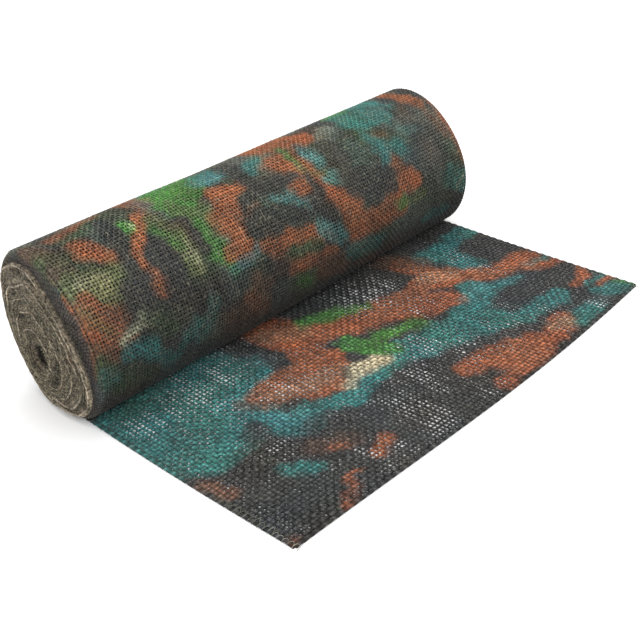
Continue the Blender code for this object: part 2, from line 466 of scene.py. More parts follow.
# Where the loose end's weave lies open, in the chart's millimetres
OPEN_PATCHES = (
    Patch(20, 162, 16, 1.0), Patch(60, 160, 26, 0.7), Patch(92, 164, 18, 0.7), Patch(122, 112, 26, 0.6),
    Patch(130, 74, 20, 0.5), Patch(60, 82, 18, 0.4), Patch(150, 46, 20, 0.9), Patch(190, 56, 22, 0.9),
    Patch(150, 14, 20, 1.0), Patch(106, 16, 18, 0.7), Patch(214, 80, 18, 1.0), Patch(202, 10, 16, 1.1),
    Patch(240, 164, 20, 1.1), Patch(272, 160, 18, 1.0), Patch(310, 70, 16, 0.7), Patch(236, 56, 18, 0.7),
    Patch(290, 52, 22, 0.8), Patch(312, 14, 12, 0.8), Patch(356, 12, 9, 1.2), Patch(320, 38, 22, 0.9),
    Patch(90, 32, 16, 0.3), Patch(270, 110, 20, 0.6), Patch(304, 140, 18, 0.5), Patch(340, 140, 18, 0.5),
)

# The print on the loose end, in millimetres: x from the left, y from the free edge
LOOSE_CHART = (
    *strokes("teal", (4, 170, 96, 182, 22), (8, 130, 70, 130, 36), (70, 160, 106, 154, 22),
             (20, 98, 54, 98, 14), (78, 92, 92, 78, 12), (100, 84, 136, 72, 11), (134, 72, 200, 82, 9),
             (200, 84, 246, 70, 16), (244, 76, 290, 54, 17), (288, 54, 344, 38, 10),
             (270, 78, 304, 86, 10), (290, 86, 314, 102, 11), (308, 94, 348, 80, 6),
             (332, 158, 392, 164, 11), (342, 156, 342, 120, 12), (50, 52, 61, 42, 6.5, 0.9),
             (318, 10, 348, 8, 9), (372, 16, 394, 8, 8), (296, 36, 350, 36, 4), (372, 86, 399, 82, 5),
             (376, 32, 399, 30, 4)),
    *strokes("black", (62, 96, 62, 66, 10), (92, 72, 118, 62, 11), (132, 182, 142, 144, 9),
             (214, 184, 284, 164, 20), (374, 132, 398, 126, 17), (312, 64, 380, 64, 16)),
    *strokes("rust", (156, 186, 166, 152, 20), (164, 150, 206, 140, 13), (200, 140, 254, 128, 16),
             (252, 128, 304, 136, 10), (246, 116, 284, 104, 14), (296, 134, 316, 128, 14),
             (304, 166, 312, 134, 11), (310, 122, 346, 102, 11), (344, 98, 388, 96, 9),
             (368, 84, 398, 72, 5), (102, 120, 152, 116, 16), (122, 104, 138, 98, 13),
             (150, 132, 162, 118, 12), (210, 34, 258, 28, 9), (238, 20, 276, 14, 12),
             (272, 8, 316, 16, 9), (214, 2, 262, 4, 6), (48, 2, 76, 20, 1.8, 0.85),
             (100, 22, 116, 28, 5)),
    *strokes("umber", (76, 56, 100, 44, 8, 0.4)),
    *strokes("rust", (84, 48, 92, 44, 3, 0.5)),
    *strokes("umber", (4, 80, 12, 64, 6)),
    *strokes("rust", (366, 38, 399, 48, 5), (382, 22, 396, 26, 3)),
    *strokes("green", (186, 166, 212, 158, 8), (202, 156, 232, 148, 4), (184, 118, 196, 94, 11),
             (206, 112, 244, 98, 6), (396, 14, 399, 4, 4)),
    *strokes("natural", (142, 86, 166, 90, 4), (162, 92, 180, 88, 7)),
    *strokes("smoke", (112, 190, 128, 150, 8, 0.4)),
    *strokes("umber", (78, 128, 88, 112, 7, 0.6), (300, 182, 318, 158, 12, 0.6)),
    *strokes("natural", (150, 176, 170, 160, 10, 0.16), (300, 140, 318, 128, 10, 0.2),
             (104, 112, 150, 104, 9, 0.18), (300, 16, 314, 12, 6, 0.3)),
    *strokes("smoke", (352, 14, 362, 10, 6, 0.7)),
    *strokes("sky", (292, 92, 316, 96, 9, 0.4), (84, 96, 96, 84, 7, 0.4)),
    *strokes("rust", (2, 6, 3, 4, 1.2, 0.6)),
)


def thread_count(name, description, default, low, high):
    return IntProperty(name=name, description=description, default=default, min=low, max=high)


def distance(name, description, default):
    return FloatProperty(
        name=name, description=description, default=default, subtype="DISTANCE", unit="LENGTH")


def ink_colour(name, description, *screen):
    return FloatVectorProperty(
        name=name, description=description, subtype="COLOR", default=from_screen(*screen))


class JuteSizes(bpy.types.PropertyGroup):
    """The cloth's sizes that a user would change."""

    roll_threads: thread_count(
        "Threads across the roll", "Lengthways threads side by side on the roll", 164, 40, 240)
    roll_crossings: thread_count(
        "Threads round the roll", "Crossways threads on the outer turn", 116, 40, 220)
    roll_thread_width: distance("Roll thread width", "Width of a thread on the roll", 0.00172)
    roll_thread_height: distance("Roll thread height", "Height of a thread on the roll", 0.00080)
    roll_wave: distance("Roll wave", "How far a thread on the roll rises and falls", 0.00034)
    loose_threads: thread_count(
        "Threads across the loose end", "Lengthways threads side by side on the loose end", 112, 20, 200)
    loose_crossings: thread_count(
        "Threads along the loose end", "Crossways threads on the loose end", 62, 10, 120)
    loose_warp_width: distance(
        "Lengthways thread width", "Width of a lengthways thread on the loose end", 0.0031)
    loose_weft_width: distance(
        "Crossways thread width", "Width of a crossways thread on the loose end", 0.0027)
    loose_thread_height: distance("Loose thread height", "Height of a thread on the loose end", 0.00062)
    loose_wave: distance("Loose wave", "How far a thread on the loose end rises and falls", 0.00038)
    end_turns: thread_count(
        "Turns shown on an end", "Turns of cloth that show on each end of the roll", 17, 6, 30)
    stitch_pitch: distance(
        "Stitch pitch", "Distance between the loops of the overlocked selvedge", 0.0040)
    stitch_thread: distance("Stitch thread", "Diameter of the selvedge's sewing thread", 0.00030)
    hair_length: distance("Hair length", "Length of the loose fibres", 0.0042)


class JuteColours(bpy.types.PropertyGroup):
    """The print's inks and the bare fibre, in linear light."""

    black: ink_colour("Black", "The print's ground", 42, 42, 42)
    teal: ink_colour("Teal", "Blue-green ink", 44, 109, 104)
    rust: ink_colour("Rust", "Orange-brown ink", 149, 81, 46)
    sky: ink_colour("Sky", "Pale blue-green ink", 76, 126, 124)
    umber: ink_colour("Umber", "Dark brown where inks mix", 104, 68, 48)
    dusk: ink_colour("Dusk", "Faded purple-brown of the folded-in edge", 86, 74, 70)
    moss: ink_colour("Moss", "Dark green where inks mix", 58, 78, 46)
    green: ink_colour("Green", "Leaf green ink", 62, 118, 46)
    olive: ink_colour("Olive", "Olive ink", 92, 99, 62)
    natural: ink_colour("Natural", "Unprinted jute", 178, 168, 138)
    smoke: ink_colour("Smoke", "Thin grey ink", 84, 98, 96)
    end: ink_colour("Selvedge", "Bare fibre on the roll's ends", 134, 122, 104)


def get_points(mesh):
    """A mesh's points as rows of x, y and z."""
    flat = np.empty(len(mesh.vertices) * 3, np.float32)
    mesh.vertices.foreach_get("co", flat)
    return flat.reshape(-1, 3).astype(float)


def set_points(mesh, points):
    mesh.vertices.foreach_set("co", points.astype(np.float32).ravel())
    mesh.update()


def noise(seed, x, y):
    """Soft noise from -1 to 1 over a plane whose cells are one unit wide."""
    table = np.random.default_rng(seed).uniform(-1, 1, (NOISE_CELLS, NOISE_CELLS))
    column = np.floor(x).astype(int)
    row = np.floor(y).astype(int)
    across = x - column
    along = y - row
    across = across * across * (3 - 2 * across)
    along = along * along * (3 - 2 * along)
    column = (column % NOISE_CELLS, (column + 1) % NOISE_CELLS)
    row = (row % NOISE_CELLS, (row + 1) % NOISE_CELLS)
    near = table[column[0], row[0]] * (1 - across) + table[column[1], row[0]] * across
    far = table[column[0], row[1]] * (1 - across) + table[column[1], row[1]] * across
    return near * (1 - along) + far * along


def grained(base, seed, grains, x, y):
    """A number varied by soft noises over the cloth, at places in metres."""
    for grain in grains:
        base = base + grain.amount * noise(seed + grain.seed, x / grain.wide, y / grain.long)
    return base


def rippled(base, seed, ripples, across, along):
    """A number varied by soft noises from thread to thread, or from turn to turn."""
    for ripple in ripples:
        soft = noise(seed + ripple.seed, across * ripple.across, along * ripple.along)
        base = base + ripple.amount * soft
    return base


def per_thread(seed, thread, spread):
    """One random number for each thread, around zero."""
    numbers = np.random.default_rng(seed).normal(0, spread, THREAD_NUMBERS)
    return numbers[thread.astype(int) % THREAD_NUMBERS]


def over_and_under(laid, lengthways):
    """The weave's wave: 1 where a thread passes over a crossing one, -1 where it passes under."""
    over = np.where(laid.thread % 2 == 0, 1, -1) * np.cos(math.pi * (laid.run - 0.5))
    return over if lengthways else -over


def straight_threads(name, steps, sides, threads):
    """Closed tubes side by side: a step is one unit of X, a thread one unit of Y."""
    bm = bmesh.new()
    facing_x = Matrix.Rotation(math.pi / 2, 4, "Y")
    bmesh.ops.create_circle(bm, segments=sides, radius=TUBE_RADIUS, matrix=facing_x)
    ring = bm.edges[:]
    for _ in range(steps):
        made = bmesh.ops.extrude_edge_only(bm, edges=ring)["geom"]
        verts = {item for item in made if isinstance(item, bmesh.types.BMVert)}
        ring = [item for item in made if isinstance(item, bmesh.types.BMEdge) and set(item.verts) <= verts]
        bmesh.ops.translate(bm, verts=list(verts), vec=(1, 0, 0))
    bmesh.ops.holes_fill(bm, edges=bm.edges[:], sides=sides)
    bmesh.ops.recalc_face_normals(bm, faces=bm.faces)
    tube = bpy.data.meshes.new(name)
    bm.to_mesh(tube)
    bm.free()
    piece = bpy.data.objects.new(name, tube)
    bpy.context.scene.collection.objects.link(piece)
    if threads > 1:
        array = piece.modifiers.new("side_by_side", "ARRAY")
        array.use_relative_offset = False
        array.use_constant_offset = True
        array.constant_offset_displace = (0, 1, 0)
        array.count = threads
        keep_modified(piece)
    return piece


def keep_modified(piece):
    """Replace a piece's mesh by what its modifiers make of it."""
    graph = bpy.context.evaluated_depsgraph_get()
    made = bpy.data.meshes.new_from_object(piece.evaluated_get(graph))
    piece.modifiers.clear()
    piece.data = made


def join_pieces(name, pieces):
    """One object from several."""
    with bpy.context.temp_override(active_object=pieces[0], selected_editable_objects=pieces):
        bpy.ops.object.join()
    pieces[0].name = name
    return pieces[0]


def read_threads(mesh):
    """Which thread a point belongs to, how many crossings along, and where on the tube."""
    points = get_points(mesh)
    thread = np.floor(points[:, 1] + 0.5)
    ring = np.rint(points[:, 0]).astype(int)
    side = (points[:, 1] - thread) / TUBE_RADIUS
    return Laid(thread, ring, 0.5 + points[:, 0], side, points[:, 2] / TUBE_RADIUS)


def back_blots():
    """Made-up blots for the hidden side of the roll, in the same inks."""
    random = np.random.default_rng(17)
    blots = []
    for index in range(BACK_COUNT):
        x = random.uniform(0, 400)
        y = random.uniform(BACK_FROM, BACK_TO)
        turn = random.normal(0, 0.5)
        long = random.uniform(6, 34)
        wide = random.uniform(5, 15)
        ink = BACK_INKS[index % len(BACK_INKS)]
        blots.append(Blot(ink, x, y, x + long * math.cos(turn), y + long * math.sin(turn), wide))
    return tuple(blots)


def print_colours(chart, mottle, x, y, inks, seed):
    """The print's colour at points of the cloth, in metres from the chart's corner."""
    at_x = grained(x * 1000, seed, WANDER_X, x, y)
    at_y = grained(y * 1000, seed, WANDER_Y, x, y)
    soft = grained(BORDER_SOFT, seed, BORDER_GRAIN, x, y)
    strength = np.clip(grained(INK_STRENGTH, seed, STRENGTH_GRAIN, x, y), INK_WEAKEST, 1)
    colour = np.tile(np.array(inks.black), (len(x), 1))
    for number, ink in enumerate(("moss", "umber", "smoke")):
        share = np.clip(grained(0.15, seed + number, (MOTTLE_GRAIN,), x, y), 0, 1)[:, None] * mottle
        colour += (np.array(getattr(inks, ink)) - colour) * share
    for blot in chart:
        run_x = blot.x2 - blot.x1
        run_y = blot.y2 - blot.y1
        length = max(run_x * run_x + run_y * run_y, 1e-6)
        along = np.clip(((at_x - blot.x1) * run_x + (at_y - blot.y1) * run_y) / length, 0, 1)
        away = np.hypot(at_x - blot.x1 - along * run_x, at_y - blot.y1 - along * run_y)
        cover = np.clip(0.5 + (blot.wide - away) / soft, 0, 1)
        cover = (cover * cover * (3 - 2 * cover) * strength * blot.mix)[:, None]
        colour += (np.array(getattr(inks, blot.ink)) - colour) * cover
    drift = grained(0, seed, DRIFT_GRAIN, x, y)
    warm = np.stack([1 + drift, 1 + 0 * drift, 1 - drift], 1)
    return colour * warm * grained(1, seed, TONE_GRAIN, x, y)[:, None]


def set_colour(mesh, colour):
    """The print's colour at each point."""
    layer = mesh.color_attributes.new("print", "FLOAT_COLOR", "POINT")
    values = np.ones((len(colour), 4), np.float32)
    values[:, :3] = np.clip(colour, 0.001, 1)
    layer.data.foreach_set("color", values.ravel())


def set_number(mesh, name, values):
    """A number at each point, such as its height: 0 in a pit of the weave to 1 on a crown."""
    layer = mesh.attributes.new(name, "FLOAT", "POINT")
    layer.data.foreach_set("value", values.astype(np.float32))


def set_uv(mesh, name, across, along):
    """A UV map from a pair of numbers at each point."""
    layer = mesh.uv_layers.new(name=name)
    corner = np.empty(len(mesh.loops), np.int32)
    mesh.loops.foreach_get("vertex_index", corner)
    pairs = np.stack([across[corner], along[corner]], 1).astype(np.float32)
    layer.uv.foreach_set("vector", pairs.ravel())


def set_twist(mesh, laid, quick=1.0):
    """The fibres' map: along each thread, and across it."""
    set_uv(mesh, "twist", laid.run * quick + laid.thread * TWIST_SHIFT, laid.side)


def set_end_map(mesh):
    """The OFBake UV map of a piece on an end of the roll, seen along X."""
    points = get_points(mesh)
    set_uv(mesh, "OFBake", points[:, 1] / END_MAP + MAP_MIDDLE, points[:, 2] / END_MAP + END_MAP_LOW)


def set_floor_map(mesh):
    """The OFBake UV map of a small piece, seen from above."""
    points = get_points(mesh)
    set_uv(mesh, "OFBake", points[:, 0] + MAP_MIDDLE, points[:, 1] + MAP_MIDDLE)


def wear_and_shade_print(colour, laid, height, x, y, dry, tint, inks, seed):
    """Dull, lighten and streak the print as dry hairy jute does, and paint light onto the weave's crowns
    and shade into its lows.
    """
    tone = rippled(1 + per_thread(seed + 20, laid.thread, 0.08), seed, THREAD_RIPPLE, laid.thread, laid.run)
    # Painted light and shade: the weave's crowns lighter, its lows darker
    tone = tone * (0.92 + 0.22 * np.clip(height, -1, 1))
    glint = np.clip(rippled(-0.35, seed, GLINT_RIPPLE, laid.thread, laid.run), 0, 1)
    bare = dry * (grained(1, seed, BARE_GRAIN, x, y) + GLINT * glint)
    bare = np.clip(bare, 0, 0.5)
    fibre = np.array(inks.natural)
    return colour * np.array(tint) * tone[:, None] * (1 - bare[:, None]) + fibre * bare[:, None]


class RollOutline:
    """The CAD roll's outline at any place along it, read by cutting the solid across."""

    def __init__(self):
        low = ROLL_LOW.x + OUTLINE_INSET
        high = ROLL_HIGH.x - OUTLINE_INSET
        self.stations = np.linspace(low, high, OUTLINE_STATIONS)
        self.angles = np.linspace(0, math.tau, OUTLINE_ANGLES, endpoint=False)
        self.radii = np.array([self.cut(x) for x in self.stations])
        self.measure_round()

    def cut(self, x):
        """The outline's distance from the middle at every angle, where the solid is cut at x."""
        bm = bmesh.new()
        bm.from_mesh(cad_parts["roll"].data)
        bmesh.ops.remove_doubles(bm, verts=bm.verts, dist=1e-6)
        whole = bm.verts[:] + bm.edges[:] + bm.faces[:]
        made = bmesh.ops.bisect_plane(bm, geom=whole, plane_co=(x, 0, 0), plane_no=(1, 0, 0))["geom_cut"]
        cut = np.array([item.co[1:] for item in made if isinstance(item, bmesh.types.BMVert)])
        bm.free()
        away = cut - (ROLL_MIDDLE_Y, ROLL_MIDDLE_Z)
        angle = np.arctan2(away[:, 1], away[:, 0]) % math.tau
        order = np.argsort(angle)
        radius = np.hypot(away[:, 0], away[:, 1])
        return np.interp(self.angles, angle[order], radius[order], period=math.tau)

    def radius(self, x, angle):
        place = np.interp(x, self.stations, np.arange(len(self.stations)))
        low = np.minimum(place.astype(int), len(self.stations) - 2)
        share = place - low
        turn = (angle % math.tau) / math.tau * OUTLINE_ANGLES
        first = turn.astype(int) % OUTLINE_ANGLES
        second = (first + 1) % OUTLINE_ANGLES
        part = turn - np.floor(turn)
        near = self.radii[low, first] * (1 - part) + self.radii[low, second] * part
        far = self.radii[low + 1, first] * (1 - part) + self.radii[low + 1, second] * part
        apart = (angle - PROUD_AT + math.pi) % math.tau - math.pi
        along = (x - ROLL_LOW.x) / (ROLL_HIGH.x - ROLL_LOW.x)
        proud = (PROUD_LEFT + (PROUD_RIGHT - PROUD_LEFT) * along) * np.exp(-(apart / PROUD_SPREAD) ** 2)
        return near * (1 - share) + far * share + proud

    def measure_round(self):
        """Lengths round the middle station from straight below, up the front and over."""
        steps = 2 * OUTLINE_ANGLES
        turn = np.linspace(1.5 * math.pi, -0.5 * math.pi, steps)
        middle = np.full(steps, self.stations[len(self.stations) // 2])
        radius = self.radius(middle, turn)
        y = radius * np.cos(turn)
        z = radius * np.sin(turn)
        self.turn = turn
        self.length = np.concatenate([[0], np.cumsum(np.hypot(np.diff(y), np.diff(z)))])

    def angle_at(self, length):
        return np.interp(length, self.length, self.turn)

    def place(self, x, length, lift):
        """Points over the outline: lift is outwards from the solid's surface."""
        angle = self.angle_at(length)
        ahead = self.radius(x, angle + SLOPE_STEP)
        behind = self.radius(x, angle - SLOPE_STEP)
        radius = self.radius(x, angle)
        slope = (ahead - behind) / (2 * SLOPE_STEP)
        out_y = radius * np.cos(angle) + slope * np.sin(angle)
        out_z = radius * np.sin(angle) - slope * np.cos(angle)
        size = np.hypot(out_y, out_z)
        y = ROLL_MIDDLE_Y + radius * np.cos(angle) + lift * out_y / size
        z = ROLL_MIDDLE_Z + radius * np.sin(angle) + lift * out_z / size
        return y, np.maximum(z, 0.0)


OUTLINE = RollOutline()


def painted_foot_shade(length):
    """Painted shade: the cloth is darker low on the front, towards the floor."""
    share = np.clip((length - FOOT_FROM) / (FOOT_TO - FOOT_FROM), 0, 1)
    return FOOT_TONE + (1 - FOOT_TONE) * share


def roll_threads(name, lengthways, sizes, inks):
    """One of the two sets of threads of the roll's outer turn."""
    across = sizes.roll_threads
    around = sizes.roll_crossings
    count, crossings = (across, around) if lengthways else (around, across)
    piece = straight_threads(name, crossings - 1, 4, count)
    laid = read_threads(piece.data)
    low = ROLL_LOW.x + FOLD_BACK
    pitch_x = (ROLL_HIGH.x - FOLD_BACK - low) / across
    pitch_s = (WOVEN_TO - WOVEN_FROM) / around
    seed = 3 if lengthways else 5
    swell = rippled(1 + per_thread(seed, laid.thread, 0.13), seed, ROLL_SWELL, laid.thread, laid.run)
    half_width = sizes.roll_thread_width / 2 * np.clip(swell, 0.60, 1.35)
    sway = rippled(0, seed, ROLL_SWAY, laid.thread, laid.run)
    from_left = laid.thread if lengthways else laid.run
    sway *= np.clip(np.minimum(from_left, across - from_left) / EDGE_THREADS, 0, 1)
    height = over_and_under(laid, lengthways)
    if lengthways:
        x = low + (laid.thread + 0.5) * pitch_x + sway - laid.side * half_width
        length = WOVEN_FROM + laid.run * pitch_s
    else:
        x = low + laid.run * pitch_x
        length = WOVEN_FROM + (laid.thread + 0.5) * pitch_s + sway + laid.side * half_width
    half_height = sizes.roll_thread_height / 2
    lift = sizes.roll_wave * height + half_height * laid.up
    sink = sizes.roll_wave + half_height
    y, z = OUTLINE.place(x, length, lift - sink)
    set_points(piece.data, np.stack([x, y, z], 1))
    colour = print_colours(ROLL_CHART + back_blots(), ROLL_MOTTLE, x - CHART_LEFT, length, inks, 40)
    tall = WAVE_SHARE * height + ROUND_SHARE * laid.up
    worn = wear_and_shade_print(colour, laid, tall, x, length, ROLL_DRY, ROLL_TINT, inks, seed)
    set_colour(piece.data, worn)
    set_number(piece.data, "height", 0.5 + 0.5 * tall)
    # Painted shade towards the roll's foot, which the material multiplies in
    set_number(piece.data, "shade", painted_foot_shade(length))
    set_uv(piece.data, "OFBake", (x - ROLL_LOW.x) / CLOTH_MAP, length / CLOTH_MAP)
    set_twist(piece.data, laid)
    return piece


def span_across(node, at_y):
    """The left and right edges of a flat CAD node at a distance along it."""
    return cut_span(node, (0, at_y, 0), (0, 1, 0), 0)


def span_along(node, at_x):
    """The front and back edges of a flat CAD node at a place across it."""
    return cut_span(node, (at_x, 0, 0), (1, 0, 0), 1)


def cut_span(node, at, facing, axis):
    bm = bmesh.new()
    bm.from_mesh(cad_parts[node].data)
    whole = bm.verts[:] + bm.edges[:] + bm.faces[:]
    made = bmesh.ops.bisect_plane(bm, geom=whole, plane_co=at, plane_no=facing)["geom_cut"]
    values = [item.co[axis] for item in made if isinstance(item, bmesh.types.BMVert)]
    bm.free()
    return min(values), max(values)


class LooseOutline:
    """The CAD loose end's edges, read by cutting it across and along."""

    def __init__(self):
        self.x = np.linspace(LOOSE_LOW.x + LOOSE_INSET, LOOSE_HIGH.x - LOOSE_INSET, LOOSE_COLUMNS)
        self.y = np.linspace(LOOSE_LOW.y + 2 * LOOSE_INSET, LOOSE_HIGH.y - LOOSE_INSET, LOOSE_ROWS)
        self.front = np.array([span_along("loose_end", x)[0] for x in self.x])
        sides = np.array([span_across("loose_end", y) for y in self.y])
        self.left = sides[:, 0]
        self.right = sides[:, 1]

    def place(self, across, along):
        """A point of the flat cloth; both shares run from 0 to 1."""
        level_y = LOOSE_LOW.y + along * (LOOSE_HIGH.y - LOOSE_LOW.y)
        left = np.interp(level_y, self.y, self.left)
        right = np.interp(level_y, self.y, self.right)
        x = left + across * (right - left)
        front = np.interp(x, self.x, self.front)
        fade = (1 - along) ** 2
        y = level_y + (front - LOOSE_LOW.y) * fade
        return x, y


LOOSE = LooseOutline()


def open_weave(x, y):
    """How open the weave lies at places of the loose end, from 0 to about 1."""
    total = np.zeros(len(x))
    for patch in OPEN_PATCHES:
        away = np.hypot(x - patch.x, y - patch.y) / patch.size
        total = np.maximum(total, patch.open * np.exp(-away ** 2))
    return total


def loose_threads(name, lengthways, sizes, inks):
    """One of the two sets of threads of the flat loose end."""
    across = sizes.loose_threads
    along = sizes.loose_crossings
    count, crossings = (across, along) if lengthways else (along, across)
    piece = straight_threads(name, crossings - 1, 6, count)
    laid = read_threads(piece.data)
    seed = 7 if lengthways else 9
    pitch_x = CLOTH_WIDTH / across
    pitch_y = (LOOSE_HIGH.y - LOOSE_LOW.y) / along
    swell = rippled(1 + per_thread(seed, laid.thread, 0.12), seed, LOOSE_SWELL, laid.thread, laid.run)
    width = sizes.loose_warp_width if lengthways else sizes.loose_weft_width
    rough_u = (laid.thread if lengthways else laid.run) / across
    rough_v = (laid.run if lengthways else laid.thread) / along
    openness = OPENING * open_weave(rough_u * CLOTH_WIDTH * 1000, rough_v * CHART_LENGTH)
    openness = rippled(openness, seed, OPENING_RIPPLE, rough_u, rough_v)
    openness *= WARP_OPENS if lengthways else WEFT_OPENS
    inner = np.clip(np.minimum(laid.thread, count - 1 - laid.thread) / 2, 0, 1)
    half_width = width / 2 * (EDGE_SWELL + (np.clip(swell - openness, 0.4, 1.3) - EDGE_SWELL) * inner)
    sway = rippled(0, seed, LOOSE_SWAY, laid.thread, laid.run)
    sway *= np.clip(np.minimum(laid.thread, count - 1 - laid.thread) / EDGE_THREADS, 0, 1)
    side = -laid.side if lengthways else laid.side
    sideways = (laid.thread + 0.5) + (sway + side * half_width) / (pitch_x if lengthways else pitch_y)
    u, v = (sideways / across, laid.run / along) if lengthways else (laid.run / across, sideways / along)
    x, y = LOOSE.place(u, v)
    height = over_and_under(laid, lengthways)
    inward = np.clip(np.minimum(laid.run, crossings - laid.run) - 0.5, 0, 1)
    height = height * inward - EDGE_TUCK * (1 - inward)
    half_height = sizes.loose_thread_height / 2
    floor = sizes.loose_wave + half_height
    z = floor + sizes.loose_wave * height + half_height * laid.up
    set_points(piece.data, np.stack([x, y, z], 1))
    colour = print_colours(LOOSE_CHART, LOOSE_MOTTLE, x - CHART_LEFT, y - CHART_FRONT, inks, 60)
    tall = WAVE_SHARE * height + ROUND_SHARE * laid.up
    set_colour(piece.data, wear_and_shade_print(colour, laid, tall, x, y, LOOSE_DRY, LOOSE_TINT, inks, seed))
    set_number(piece.data, "height", 0.5 + 0.5 * tall)
    set_uv(piece.data, "OFBake", (x - LOOSE_LOW.x) / CLOTH_MAP, (y - LOOSE_LOW.y) / CLOTH_MAP)
    set_twist(piece.data, laid)
    return piece


class Nodes:
    """A short way to add and join a material's nodes."""

    def __init__(self, name):
        self.material = bpy.data.materials.new(name)
        self.material.use_nodes = True
        self.tree = self.material.node_tree
        self.shader = self.tree.nodes["Principled BSDF"]

    def add(self, kind, **values):
        node = self.tree.nodes.new(kind)
        for key, value in values.items():
            if key in node.inputs:
                node.inputs[key].default_value = value
            else:
                setattr(node, key, value)
        return node

    def join(self, output, target):
        self.tree.links.new(output, target)

    def mapped(self, value, low, high, to_low, to_high):
        """A number moved from one range to another and kept inside it."""
        node = self.add("ShaderNodeMapRange")
        node.inputs["From Min"].default_value = low
        node.inputs["From Max"].default_value = high
        node.inputs["To Min"].default_value = to_low
        node.inputs["To Max"].default_value = to_high
        self.join(value, node.inputs["Value"])
        return node.outputs["Result"]

    def scaled(self, colour, tone):
        """A colour made lighter or darker."""
        node = self.add("ShaderNodeVectorMath", operation="SCALE")
        self.join(colour, node.inputs[0])
        self.join(tone, node.inputs["Scale"])
        return node.outputs["Vector"]

    def product(self, first, second):
        node = self.add("ShaderNodeMath", operation="MULTIPLY")
        self.join(first, node.inputs[0])
        self.join(second, node.inputs[1])
        return node.outputs["Value"]

    def stretched_noise(self, vector, scale, turned):
        """Noise drawn out along the threads."""
        mapping = self.add("ShaderNodeMapping")
        mapping.inputs["Scale"].default_value = scale
        mapping.inputs["Rotation"].default_value = (0.0, 0.0, turned)
        self.join(vector, mapping.inputs["Vector"])
        node = self.add("ShaderNodeTexNoise", Scale=1.0, Detail=3.0, Roughness=0.6)
        self.join(mapping.outputs["Vector"], node.inputs["Vector"])
        return node.outputs["Fac"]


def jute_material(name, look):
    """Dry jute with the print's colour: fibres along the thread, painted shade in the pits, crowns painted
    pale as highlight and wear, a soft sheen.
    """
    nodes = Nodes(name)
    tint = nodes.add("ShaderNodeAttribute", attribute_name="print")
    tall = nodes.add("ShaderNodeAttribute", attribute_name="height")
    shade = nodes.add("ShaderNodeAttribute", attribute_name="shade")
    twist = nodes.add("ShaderNodeUVMap", uv_map="twist")
    place = nodes.add("ShaderNodeTexCoord")
    fibre = nodes.stretched_noise(twist.outputs["UV"], (2.4, 4.2, 1.0), 0.35)
    strand = nodes.stretched_noise(twist.outputs["UV"], (0.8, 5.5, 1.0), -0.2)
    lint = nodes.add("ShaderNodeTexNoise", Scale=look.lint_scale, Detail=2.0, Roughness=0.6)
    nodes.join(place.outputs["Object"], lint.inputs["Vector"])
    # Painted shade: the low parts of the weave darker
    pit = nodes.mapped(tall.outputs["Fac"], 0.0, CROWN_FROM, PIT_SHADE, 1.0)
    colour = tint.outputs["Color"]
    for tone in (nodes.mapped(fibre, 0.3, 0.7, 0.52, 1.48),
                 nodes.mapped(lint.outputs["Fac"], 0.3, 0.7, 1 - look.lint, 1 + look.lint), pit):
        colour = nodes.scaled(colour, tone)
    pale = nodes.add("ShaderNodeVectorMath", operation="MULTIPLY_ADD")
    nodes.join(colour, pale.inputs[0])
    pale.inputs[1].default_value = (CROWN_GAIN, CROWN_GAIN, CROWN_GAIN)
    pale.inputs[2].default_value = (CROWN_GREY, CROWN_GREY, CROWN_GREY)
    # Painted highlight and rubbed wear together: the crowns mixed towards a pale colour
    crown = nodes.product(nodes.mapped(tall.outputs["Fac"], CROWN_FROM, 1.0, 0.0, look.crowns),
                          nodes.mapped(lint.outputs["Fac"], 0.40, 0.62, 0.15, 1.0))
    streak = nodes.mapped(strand, 0.56, 0.74, 0.0, look.streaks)
    for share in (crown, streak):
        mix = nodes.add("ShaderNodeMix", data_type="RGBA")
        nodes.join(share, mix.inputs[0])
        nodes.join(colour, mix.inputs[6])
        nodes.join(pale.outputs["Vector"], mix.inputs[7])
        colour = mix.outputs[2]
    # The shade attribute's painted shade darkens the colour last
    nodes.join(nodes.scaled(colour, shade.outputs["Fac"]), nodes.shader.inputs["Base Color"])
    relief = nodes.add("ShaderNodeBump", Strength=0.5, Distance=0.0002)
    nodes.join(fibre, relief.inputs["Height"])
    nodes.join(relief.outputs["Normal"], nodes.shader.inputs["Normal"])
    nodes.join(nodes.mapped(fibre, 0.0, 1.0, 0.82, 1.0), nodes.shader.inputs["Roughness"])
    nodes.shader.inputs["Specular IOR Level"].default_value = 0.2
    nodes.shader.inputs["Sheen Weight"].default_value = look.sheen
    nodes.shader.inputs["Sheen Roughness"].default_value = 0.6
    return nodes.material


def finish_piece(piece, material):
    """Give a piece its material, and let it ride on the part."""
    for name, value in (("height", FLAT_HEIGHT), ("shade", 1.0)):
        if name not in piece.data.attributes:
            set_number(piece.data, name, np.full(len(piece.data.vertices), value))
    piece.data.materials.clear()
    piece.data.materials.append(material)
    piece.data.shade_smooth()
    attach(piece, "root")
    return piece


